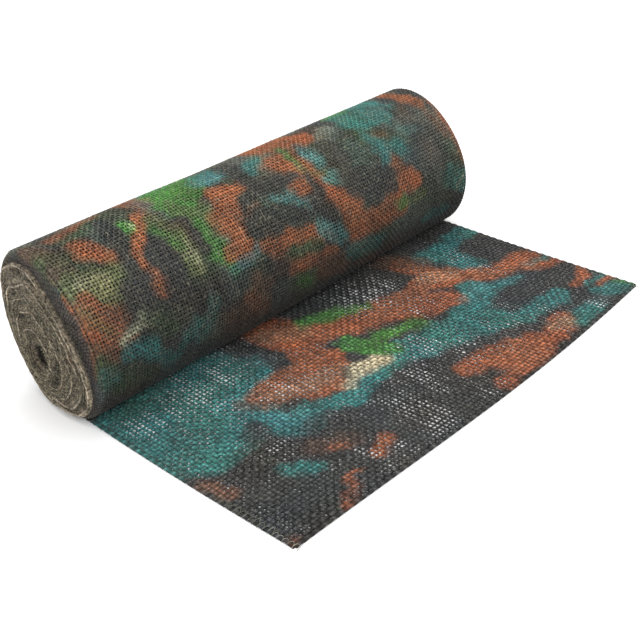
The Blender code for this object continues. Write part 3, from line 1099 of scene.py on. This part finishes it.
class EndFace:
    """Places on one end of the roll, measured inwards from the outline."""

    def __init__(self, reach, band):
        self.reach = reach
        self.plane = ROLL_LOW.x if reach < 0 else ROLL_HIGH.x
        self.band_angles = np.radians([row.angle for row in band])
        self.band_widths = np.array([row.wide for row in band])

    def band(self, angle):
        """How wide the outer turn's folded-in edge is."""
        return np.interp(angle % math.tau, self.band_angles, self.band_widths, period=math.tau)

    def place(self, angle, inset, offset):
        """A point drawn in by inset from the outline, and offset behind the end's plane."""
        radius = OUTLINE.radius(np.full(np.shape(angle), self.plane), angle)
        y = ROLL_MIDDLE_Y + radius * np.cos(angle)
        z = ROLL_MIDDLE_Z + radius * np.sin(angle)
        to_y = CORE_Y - y
        to_z = CORE_Z - z
        away = np.hypot(to_y, to_z)
        y = y + to_y * inset / away
        z = z + to_z * inset / away
        belly = END_BELLY * np.exp(-((y - BELLY_Y) ** 2 + z ** 2) / BELLY_SIZE ** 2)
        x = self.plane + self.reach * (belly * np.clip(inset / BELLY_FULL, 0, 1) - offset)
        return np.stack([x, y, z], -1)

    def depth(self, angle):
        """The distance from the outline to the middle of the hole."""
        at = self.place(angle, 0.0, 0.0)
        return np.hypot(CORE_Y - at[..., 1], CORE_Z - at[..., 2])


LEFT_FACE = EndFace(-1, LEFT_BAND)
RIGHT_FACE = EndFace(1, RIGHT_BAND)


def fold_offset(inset):
    """How far behind the end's plane the folded-in edge lies: a round edge, then a dip."""
    round_part = np.clip(1 - inset / FOLD_ROUND, 0, 1) ** 2.2
    dip = FOLD_SLOPE * np.clip(inset - FOLD_ROUND, 0, None)
    return FOLD_FRONT + (FOLD_BACK - FOLD_FRONT) * round_part + dip


def fold_threads(name, face, count, lengthways, sizes, inks):
    """Threads of the outer turn where its edge folds in over the end of the roll."""
    around = sizes.roll_crossings
    threads, crossings = (count, around) if lengthways else (around, count)
    piece = straight_threads(name, crossings - 1, 4, threads)
    laid = read_threads(piece.data)
    pitch_s = (WOVEN_TO - WOVEN_FROM) / around
    seed = 11 if lengthways else 13
    swell = rippled(1 + per_thread(seed, laid.thread, 0.10), seed, FOLD_SWELL, laid.thread, laid.run)
    half_width = sizes.roll_thread_width / 2 * np.clip(swell, 0.62, 1.3)
    sideways = -face.reach * laid.side
    if lengthways:
        length = WOVEN_FROM + laid.run * pitch_s
        share = laid.thread / (count - 0.5)
    else:
        length = WOVEN_FROM + (laid.thread + 0.5) * pitch_s + laid.side * half_width
        share = (laid.run - 0.5) / (count - 0.5)
    angle = OUTLINE.angle_at(length)
    band = face.band(angle)
    inset = share * band
    if lengthways:
        inset = inset - sideways * face.reach * np.minimum(half_width, band / count * THREAD_FILL)
    before = np.clip(-inset, 0, FOLD_LAP)
    inset = np.clip(inset, 0, None)
    height = over_and_under(laid, lengthways)
    half_height = sizes.roll_thread_height / 2
    lift = sizes.roll_wave * height + half_height * laid.up - sizes.roll_wave - half_height
    turned = np.clip(inset / FOLD_ROUND, 0, 1) * math.pi / 2
    offset = fold_offset(inset) + before
    points = face.place(angle, inset - lift * np.cos(turned), offset - lift * np.sin(turned))
    points[:, 2] = np.maximum(points[:, 2], 0)
    set_points(piece.data, points)
    x = points[:, 0] + face.reach * inset
    colour = print_colours(ROLL_CHART + back_blots(), ROLL_MOTTLE, x - CHART_LEFT, length, inks, 40)
    tall = WAVE_SHARE * height + ROUND_SHARE * laid.up
    set_number(piece.data, "height", 0.5 + 0.5 * tall * (1 - 0.7 * np.clip(inset / BROWN_TO, 0, 1)))
    set_number(piece.data, "shade", np.maximum(painted_foot_shade(length), FOLD_FOOT))
    colour = wear_and_shade_print(colour, laid, tall, x, length, ROLL_DRY, ROLL_TINT, inks, seed)
    brown = np.clip((inset - BROWN_FROM) / (BROWN_TO - BROWN_FROM), 0, 1)[:, None] * FOLD_BROWN
    mottle = np.clip(grained(0.85, 0, DUSK_GRAIN, inset, length), 0.15, 2)
    colour = colour * (1 - brown) + np.array(inks.dusk) * mottle[:, None] * brown
    # Painted shade along the crease where the folded-in edge meets the turns
    crease = CREASE_SHADE_DARK * np.exp(-((band - inset) / CREASE_SHADE_WIDE) ** 2) * np.clip(band / CREASE_SHADE_FULL, 0, 1)
    colour = colour * (1 - crease[:, None])
    set_colour(piece.data, colour)
    set_end_map(piece.data)
    set_twist(piece.data, laid)
    return piece


def follow(laid, path, half_side, half_up, facing):
    """Points of straight tubes bent along paths, one row of path points for each thread."""
    tangent = np.gradient(path, axis=1)
    tangent /= np.linalg.norm(tangent, axis=2, keepdims=True)
    sideways = np.cross(np.broadcast_to(facing, path.shape), tangent)
    sideways /= np.linalg.norm(sideways, axis=2, keepdims=True)
    upwards = np.cross(tangent, sideways)
    at = (laid.thread.astype(int), laid.ring)
    return (path[at] + sideways[at] * (laid.side * half_side)[:, None]
            + upwards[at] * (laid.up * half_up)[:, None])


def turn_level(turn, angle):
    """How proud the face stands at a turn and an angle: 1 on the proudest turns' edges."""
    around = (angle / math.tau - 0.75) % 1.0
    return np.interp(turn - around, np.arange(len(TURN_LEVELS)), TURN_LEVELS)


def hollow_at(face, points):
    """How deep in one of the left end's hollows points lie, from 0 to 1."""
    total = np.zeros(points.shape[:-1])
    if face is LEFT_FACE:
        for void in VOIDS:
            back = (points[..., 1] - void.y) / void.long
            up = (points[..., 2] - void.z) / void.wide
            total = np.maximum(total, np.exp(-(back ** 2 + up ** 2)))
    return total


def drum_row(face, kind, share, angle, turns):
    """Points and tone of one row of the drum round one end, at angles round the roll."""
    band = face.band(angle)
    free = face.depth(angle) - band - CORE_RADIUS
    if kind in ("floor", "mouth"):
        offset = np.full(len(angle), CORE_FLOOR if kind == "floor" else CORE_MOUTH)
        # Painted shade: the hole's floor and mouth are painted dark
        return face.place(angle, band + free, offset), np.full(len(angle), 0.10)
    if kind == "turns":
        inset = band + FELT_STEP + (free - FELT_STEP) * share
        lump = noise(301, inset / 0.0021, angle * 21) + 0.7 * noise(302, inset / 0.0045, angle * 6)
        level = turn_level(turns * share, angle)
        dip = CORE_DIP * np.clip((share - 0.8) / 0.2, 0, 1) ** 2
        points = face.place(angle, inset, FELT_DEPTH - FELT_RISE * level + FELT_LUMP * lump + dip)
        hollow = hollow_at(face, points)
        points[:, 0] -= face.reach * FELT_HOLLOW * hollow
        # Painted light on the proudest turns and painted shade in the hollows, over random speckle
        speckle = 0.50 + 0.68 * level + 0.36 * noise(303, inset / 0.0016, angle * 40) + 0.22 * lump
        return points, np.clip(speckle, 0.12, 1.4) * (1 - 0.85 * hollow)
    wound = (angle / math.tau + 0.25) % 1.0
    bare = np.clip((np.abs(wound - 0.5) - BARE_FROM) * 30, 0, 1)
    under = UNDER_WEAVE + (UNDER_BARE - UNDER_WEAVE) * bare
    inset = np.maximum(band * share, under)
    if kind == "band":
        offset = fold_offset(inset - under) + under
        # Painted shade: the drum under the folded-in edge is dark, less so where no weave covers it
        return face.place(angle, inset, offset), 0.16 + 0.22 * bare
    inset = inset + UNDER_DEEPER * (1 - bare)
    # Painted shade: the drum under the woven turn is near black, lighter where no weave covers it
    return face.place(angle, inset, np.full(len(angle), UNDER_OFFSET)), 0.02 + 0.1 * bare


def under_drum(sizes, inks):
    """The closed body of inner turns: painted dark under the woven turn as the shade seen through the
    weave, felted on the ends.
    """
    side = [("floor", 1), ("mouth", 1)]
    side += [("turns", share) for share in np.linspace(1, 0, FELT_TURN_ROWS)]
    side += [("band", share) for share in np.linspace(1, 0, FELT_BAND_ROWS)] + [("under", 0)]
    rows = [(LEFT_FACE, kind, share) for kind, share in side]
    rows += [(RIGHT_FACE, kind, share) for kind, share in reversed(side)]
    piece = straight_threads("roll_under", len(rows) - 1, FELT_SIDES, 1)
    points = get_points(piece.data)
    ring = np.rint(points[:, 0]).astype(int)
    angle = np.arctan2(points[:, 2], points[:, 1])
    tone = np.zeros(len(points))
    for number, (face, kind, share) in enumerate(rows):
        mine = ring == number
        points[mine], tone[mine] = drum_row(face, kind, share, angle[mine], sizes.end_turns)
    points[:, 2] = np.maximum(points[:, 2], UNDER_BARE)
    set_points(piece.data, points)
    set_colour(piece.data, np.array(inks.end) * tone[:, None])
    set_uv(piece.data, "OFBake", points[:, 0] + MAP_MIDDLE, points[:, 2] / END_MAP)
    set_uv(piece.data, "twist", points[:, 1] / 0.0012, points[:, 2] / 0.0024)
    return piece


def end_turns(name, face, sizes, inks, seed):
    """The edges of the wound turns on one end, from the folded edge in to the hole."""
    turns = sizes.end_turns
    piece = straight_threads(name, TURN_STEPS, 6, turns)
    laid = read_threads(piece.data)
    turn = np.arange(turns)[:, None] + np.arange(TURN_STEPS + 1)[None, :] / TURN_STEPS
    angle = 1.5 * math.pi + turn * math.tau
    band = face.band(angle)
    free = face.depth(angle) - band - CORE_RADIUS
    inset = band + free * turn / turns
    for gap in GAPS:
        apart = (angle - math.radians(gap.angle) + math.pi) % math.tau - math.pi
        near = np.exp(-(apart / math.radians(gap.spread)) ** 2)
        inside = 1 / (1 + np.exp(-(turn - gap.turn) / 0.12))
        fade = np.clip((turns - turn) / (turns - gap.turn), 0, 1)
        inset = inset + gap.opening * near * inside * fade
    wander = rippled(0, seed, TURN_WANDER, turn, angle)
    inset = inset + np.clip(0.32 * free / turns, 0, TURN_STRAY) * wander
    level = np.clip(rippled(turn_level(turn, angle), seed, TURN_RISE, turn, angle), 0, 1)
    offset = rippled(END_FRONT + TURN_SINK * (1 - level), seed, TURN_DEPTH, turn, angle)
    offset += CORE_DIP * np.clip((turn - turns + 4) / 4, 0, 1) ** 2
    path = face.place(angle, inset, offset)
    hollow = hollow_at(face, path)
    path[..., 0] -= face.reach * TURN_HOLLOW * hollow
    path[..., 2] = np.maximum(path[..., 2], TURN_FLOOR)
    at = (laid.thread.astype(int), laid.ring)
    pitch = free[at] / turns
    swell = rippled(1, seed, TURN_SWELL, turn, angle)[at]
    half_side = np.clip(TURN_FILL * pitch, TURN_THIN, TURN_THICK) * (0.75 + 0.35 * level[at]) * swell
    half_up = np.where(laid.up > 0, TURN_FRONT, TURN_BACK)
    facing = np.array([face.reach, 0.0, 0.0])
    set_points(piece.data, follow(laid, path, half_side, half_up, facing))
    streak = rippled(0, seed, TURN_STREAK, turn, angle)[at]
    patch = rippled(0, seed, TURN_PATCH, turn, angle)[at]
    # Painted light: edges paler where they stand proud, and most on the lit side
    facing_light = 0.55 + 0.45 * np.cos(angle[at] - LIT_SIDE)
    proud = level[at] ** 2 * facing_light
    broken = np.clip(rippled(0.50, seed, TURN_BROKEN, turn, angle)[at], 0.05, 1)
    tone = (TURN_TONE.base + TURN_TONE.level * level[at] + TURN_TONE.proud * proud * broken
            + TURN_TONE.streak * streak + TURN_TONE.patch * patch)
    # Painted shade: the back of each edge is darker
    tone *= np.where(laid.up > 0.2, 1.0, 0.62)
    # Painted shade in the hollows
    tone = np.clip(tone, 0.15, 2.0) * (1 - 0.8 * hollow[at])
    colour = np.array(inks.end) * tone[:, None]
    for ink, shift in (("rust", 0.0), ("green", 9.0), ("teal", 17.0)):
        stain = noise(seed + 7, turn * STAIN_TURNS + shift, angle * STAIN_ROUND + shift)[at] * 2.0 - 1.35
        stain = np.clip(stain, 0, STAIN_MOST)[:, None]
        colour = colour * (1 - stain) + np.array(getattr(inks, ink)) * 0.6 * stain
    dash = np.clip(rippled(-0.45, seed, TURN_DASH, turn, angle)[at], 0, 1) * (laid.up > 0.2)
    set_colour(piece.data, colour + np.array(inks.natural) * 0.8 * dash[:, None])
    set_end_map(piece.data)
    set_twist(piece.data, laid, 1.5)
    return piece


def edge_stitches(name, at_right, sizes, inks):
    """The overlocking thread along one selvedge of the loose end."""
    count = int((LOOSE_HIGH.y - LOOSE_LOW.y - STITCH_SHORT) / sizes.stitch_pitch)
    steps = count * STITCH_STEPS
    piece = straight_threads(name, steps, 3, 1)
    laid = read_threads(piece.data)
    run = np.arange(steps + 1) / STITCH_STEPS
    stitch = np.floor(run)
    phase = run - stitch
    wild = 1 + 0.45 * noise(31 + at_right, run * 0.9, stitch * 0.0)
    deep = STITCH_IN * (1 + 0.35 * noise(37, stitch * 0.83, stitch * 0.0))
    out = deep - (deep + STITCH_OUT * wild) * (0.5 - 0.5 * np.cos(math.tau * phase))
    along = (run + STITCH_LEAN * np.sin(math.tau * phase)) * sizes.stitch_pitch
    y = LOOSE_LOW.y + STITCH_START + along
    left = np.interp(y, LOOSE.y, LOOSE.left)
    right = np.interp(y, LOOSE.y, LOOSE.right)
    x = right - out - STITCH_AWAY if at_right else left + out
    high = STITCH_LOW + (STITCH_HIGH - STITCH_LOW) * (0.5 + 0.5 * np.cos(math.tau * phase - 0.9))
    if at_right:
        high = high * FAR_STITCH
    z = high * (1 + 0.2 * noise(33, run * 1.7, run * 0.0))
    path = np.stack([x, y, np.maximum(z, sizes.stitch_thread)], -1)[None]
    half = np.full(len(laid.run), sizes.stitch_thread / 2)
    set_points(piece.data, follow(laid, path, half, half, np.array([0.1, 0.05, 1.0])))
    corner = np.exp(-laid.run / STITCH_STEPS / PALE_STITCHES)
    tone = 0.20 + 1.45 * corner + (0.10 + 0.45 * corner) * noise(35, laid.run * 0.8, laid.run * 0.0)
    set_colour(piece.data, np.array(inks.natural) * STITCH_TINT * tone[:, None])
    set_floor_map(piece.data)
    set_twist(piece.data, laid)
    return piece


def unit(vectors):
    return vectors / np.linalg.norm(vectors, axis=-1, keepdims=True)


def hairs(name, base, outward, lengths, tones, inks, seed, lie):
    """Loose fibres: short tapering hairs that start on a surface, each a straight step with its tip turned
    aside.
    """
    random = np.random.default_rng(seed)
    count = len(base)
    piece = straight_threads(name, HAIR_STEPS, 3, count)
    laid = read_threads(piece.data)
    along = unit(np.cross(outward, unit(random.normal(size=(count, 3)))))
    rise = random.uniform(0.02, 1 - lie, count)[:, None]
    direction = unit(along * (1 - rise) + outward * rise)
    bend = unit(np.cross(direction, unit(random.normal(size=(count, 3)))))
    curl = random.uniform(-0.5, 0.5, count)[:, None, None]
    share = (np.arange(HAIR_STEPS + 1) / HAIR_STEPS)[None, :, None]
    reach = lengths[:, None, None] * share
    path = base[:, None, :] + direction[:, None, :] * reach + bend[:, None, :] * reach * share * curl
    path[..., 2] = np.maximum(path[..., 2], 0.0003)
    at = (laid.thread.astype(int), laid.ring)
    thin = HAIR_RADIUS * (1 - HAIR_TAPER * laid.ring / HAIR_STEPS)
    facing = np.cross(direction, bend)[:, None, :]
    set_points(piece.data, follow(laid, path, thin, thin, facing))
    set_colour(piece.data, np.array(inks.natural) * tones[at[0]][:, None])
    set_floor_map(piece.data)
    set_twist(piece.data, laid)
    return piece


def end_hairs(face, count, sizes, seed):
    """Where hairs start on one end, and which way is out."""
    random = np.random.default_rng(seed)
    angle = random.uniform(0, math.tau, count)
    share = random.uniform(0, 1, count) ** 0.8
    start = 0.45 * face.band(angle)
    inset = start + 0.94 * share * (face.depth(angle) - CORE_RADIUS - start)
    on_band = np.clip((face.band(angle) - inset) / 0.002, 0, 1)
    base = face.place(angle, inset, random.uniform(0.0002, 0.0026, count) + 0.0012 * on_band)
    outward = np.tile([float(face.reach), 0.0, 0.0], (count, 1))
    lengths = sizes.hair_length * random.uniform(0.12, 0.62, count)
    # Painted shade: hairs darker on the folded-in band and in the hollows
    shade = (1 - 0.72 * on_band) * (1 - 0.9 * hollow_at(face, base))
    return base, outward, lengths, random.uniform(0.02, 1.42, count) ** 2.2 * shade


def roll_hairs(count, sizes, seed):
    """Where hairs start on the outer turn, and which way is out."""
    random = np.random.default_rng(seed)
    x = ROLL_LOW.x + 0.004 + (CLOTH_WIDTH - 0.008) * random.uniform(0, 1, count) ** 1.35
    length = random.uniform(WOVEN_FROM, WOVEN_TO, count)
    y, z = OUTLINE.place(x, length, np.full(count, -0.0005))
    base = np.stack([x, y, z], 1)
    outward = unit(np.stack([np.zeros(count), y - ROLL_MIDDLE_Y, z - ROLL_MIDDLE_Z], 1))
    lengths = sizes.hair_length * random.uniform(0.25, 1.0, count)
    # The hairs' tones take the painted shade towards the roll's foot
    return base, outward, lengths, random.uniform(0.15, 1.35, count) ** 1.5 * painted_foot_shade(length)


def loose_hairs(count, sizes, seed):
    """Where hairs start on the loose end's face, and which way is out."""
    random = np.random.default_rng(seed)
    across = random.uniform(0.01, 0.99, count)
    along = random.uniform(0.02, 1, count)
    x, y = LOOSE.place(across, along)
    base = np.stack([x, y, random.uniform(0.0006, 0.0014, count)], 1)
    outward = np.tile([0.0, 0.0, 1.0], (count, 1))
    lengths = sizes.hair_length * random.uniform(0.15, 0.55, count)
    return base, outward, lengths, random.uniform(0.1, 0.8, count) ** 1.4


def settings():
    return bpy.context.scene.jute_sizes, bpy.context.scene.jute_colours


def jute(name):
    """The piece's jute finish, made once."""
    if name not in bpy.data.materials:
        jute_material(name, LOOKS[name])
    return bpy.data.materials[name]


class JUTE_OT_outer_turn(bpy.types.Operator):
    """Weave the roll's outer turn and fold its edges in over the ends"""
    bl_idname = "jute.outer_turn"
    bl_label = "Outer turn"

    def execute(self, context):
        sizes, inks = settings()
        cloth = jute("rolled_jute_threads")
        finish_piece(roll_threads("roll_warp", True, sizes, inks), cloth)
        finish_piece(roll_threads("roll_weft", False, sizes, inks), cloth)
        folds = (
            ("left_fold", LEFT_FACE, LEFT_FOLD_THREADS),
            ("right_fold", RIGHT_FACE, RIGHT_FOLD_THREADS),
        )
        for name, face, count in folds:
            parts = [fold_threads(name + "_" + way, face, count, way == "warp", sizes, inks)
                     for way in ("warp", "weft")]
            finish_piece(join_pieces(name, parts), cloth)
        return {"FINISHED"}


class JUTE_OT_wound_turns(bpy.types.Operator):
    """Make the inner turns: a closed body, and the turns' edges on both ends"""
    bl_idname = "jute.wound_turns"
    bl_label = "Wound turns"

    def execute(self, context):
        sizes, inks = settings()
        edges = jute("wound_jute_edges")
        drum = finish_piece(under_drum(sizes, inks), edges)
        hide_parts("roll")
        finish_piece(end_turns("left_turns", LEFT_FACE, sizes, inks, 71), edges)
        finish_piece(end_turns("right_turns", RIGHT_FACE, sizes, inks, 91), edges)
        return {"FINISHED"}


class JUTE_OT_fibres(bpy.types.Operator):
    """Scatter loose fibres over the ends, the outer turn and the loose end"""
    bl_idname = "jute.fibres"
    bl_label = "Loose fibres"

    def execute(self, context):
        sizes, inks = settings()
        hair = jute("jute_fibres")
        groups = (
            ("left_end_fibres", end_hairs(LEFT_FACE, LEFT_END_FIBRES, sizes, 101), END_LIE, "rolled_jute"),
            ("right_end_fibres", end_hairs(RIGHT_FACE, RIGHT_END_FIBRES, sizes, 103), END_LIE,
             "rolled_jute"),
            ("roll_fibres", roll_hairs(ROLL_FIBRES, sizes, 105), FLAT_LIE, "rolled_jute"),
            ("loose_fibres", loose_hairs(LOOSE_FIBRES, sizes, 107), FLAT_LIE, "laid_jute"),
        )
        for number, (name, places, lie, slot) in enumerate(groups):
            finish_piece(hairs(name, *places, inks, 200 + number, lie), hair)
        return {"FINISHED"}


class JUTE_OT_stitches(bpy.types.Operator):
    """Overlock both selvedges of the loose end"""
    bl_idname = "jute.stitches"
    bl_label = "Selvedge stitches"

    def execute(self, context):
        sizes, inks = settings()
        for name, at_right in (("left_stitches", 0), ("right_stitches", 1)):
            finish_piece(edge_stitches(name, at_right, sizes, inks), jute("jute_fibres"))
        return {"FINISHED"}


class JUTE_OT_loose_end(bpy.types.Operator):
    """Weave the loose end flat on the floor"""
    bl_idname = "jute.loose_end"
    bl_label = "Loose end"

    def execute(self, context):
        sizes, inks = settings()
        parts = [loose_threads("loose_" + way, way == "warp", sizes, inks) for way in ("warp", "weft")]
        cloth = finish_piece(join_pieces("loose_cloth", parts), jute("laid_jute_threads"))
        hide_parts("loose_end")
        return {"FINISHED"}


class JUTE_OT_stage(bpy.types.Operator):
    """Lay the floor, light it softly and place the camera"""
    bl_idname = "jute.stage"
    bl_label = "Stage"

    def execute(self, context):
        lay_floor()
        place_lights()
        place_camera()
        return {"FINISHED"}


def lay_floor():
    bm = bmesh.new()
    bmesh.ops.create_grid(bm, x_segments=1, y_segments=1, size=FLOOR_SIZE / 2)
    mesh = bpy.data.meshes.new("floor")
    bm.to_mesh(mesh)
    bm.free()
    floor = bpy.data.objects.new("floor", mesh)
    bpy.context.scene.collection.objects.link(floor)
    white = bpy.data.materials.new("white_floor")
    white.use_nodes = True
    shader = white.node_tree.nodes["Principled BSDF"]
    shader.inputs["Base Color"].default_value = (*FLOOR_COLOUR, 1.0)
    shader.inputs["Roughness"].default_value = 0.9
    shader.inputs["Specular IOR Level"].default_value = 0.1
    mesh.materials.append(white)


def place_lights():
    world = bpy.data.worlds.new("studio")
    world.use_nodes = True
    sky = world.node_tree.nodes["Background"]
    sky.inputs["Color"].default_value = (1.0, 1.0, 1.0, 1.0)
    sky.inputs["Strength"].default_value = SKY_STRENGTH
    bpy.context.scene.world = world
    for row in LAMPS:
        light = bpy.data.lights.new(row.name, "AREA")
        light.shape = "DISK"
        light.size = row.size
        light.energy = row.power
        lamp = bpy.data.objects.new(row.name, light)
        lamp.location = row.place
        lamp.rotation_mode = "QUATERNION"
        lamp.rotation_quaternion = (Vector(row.place) - Vector(LIT_POINT)).to_track_quat("Z", "Y")
        bpy.context.scene.collection.objects.link(lamp)
    bpy.context.scene.view_settings.view_transform = "Standard"


def place_camera():
    lens = bpy.data.cameras.new("camera")
    lens.lens = CAMERA_LENS
    lens.sensor_width = 36.0
    lens.clip_start = 0.01
    lens.clip_end = 100.0
    camera = bpy.data.objects.new("camera", lens)
    turned = Matrix.Rotation(-CAMERA_AZIMUTH, 4, "Z")
    turned = turned @ Matrix.Rotation(math.pi / 2 + CAMERA_ELEVATION, 4, "X")
    turned = turned @ Matrix.Rotation(CAMERA_ROLL, 4, "Z")
    camera.matrix_world = Matrix.Translation(CAMERA_PLACE) @ turned
    bpy.context.scene.collection.objects.link(camera)
    bpy.context.scene.camera = camera


class JUTE_PT_panel(bpy.types.Panel):
    """The roll's steps and settings in the 3D view's sidebar"""
    bl_idname = "JUTE_PT_panel"
    bl_label = "Jute roll"
    bl_space_type = "VIEW_3D"
    bl_region_type = "UI"
    bl_category = "Jute roll"

    def draw(self, context):
        layout = self.layout
        for step in STEPS:
            layout.operator(step.bl_idname)
        for group in (context.scene.jute_sizes, context.scene.jute_colours):
            box = layout.box()
            for key in group.__annotations__:
                box.prop(group, key)


STEPS = (
    JUTE_OT_outer_turn,
    JUTE_OT_wound_turns,
    JUTE_OT_fibres,
    JUTE_OT_stitches,
    JUTE_OT_loose_end,
    JUTE_OT_stage,
)
CLASSES = (JuteSizes, JuteColours) + STEPS + (JUTE_PT_panel,)


def register():
    for kind in CLASSES:
        bpy.utils.register_class(kind)
    bpy.types.Scene.jute_sizes = PointerProperty(type=JuteSizes)
    bpy.types.Scene.jute_colours = PointerProperty(type=JuteColours)


def unregister():
    del bpy.types.Scene.jute_colours
    del bpy.types.Scene.jute_sizes
    for kind in reversed(CLASSES):
        bpy.utils.unregister_class(kind)


def write_sizes():
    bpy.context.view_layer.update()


def main():
    register()
    bpy.ops.jute.outer_turn()
    bpy.ops.jute.wound_turns()
    bpy.ops.jute.fibres()
    bpy.ops.jute.stitches()
    bpy.ops.jute.loose_end()
    bpy.ops.jute.stage()
    write_sizes()


if __name__ == "__main__":
    main()
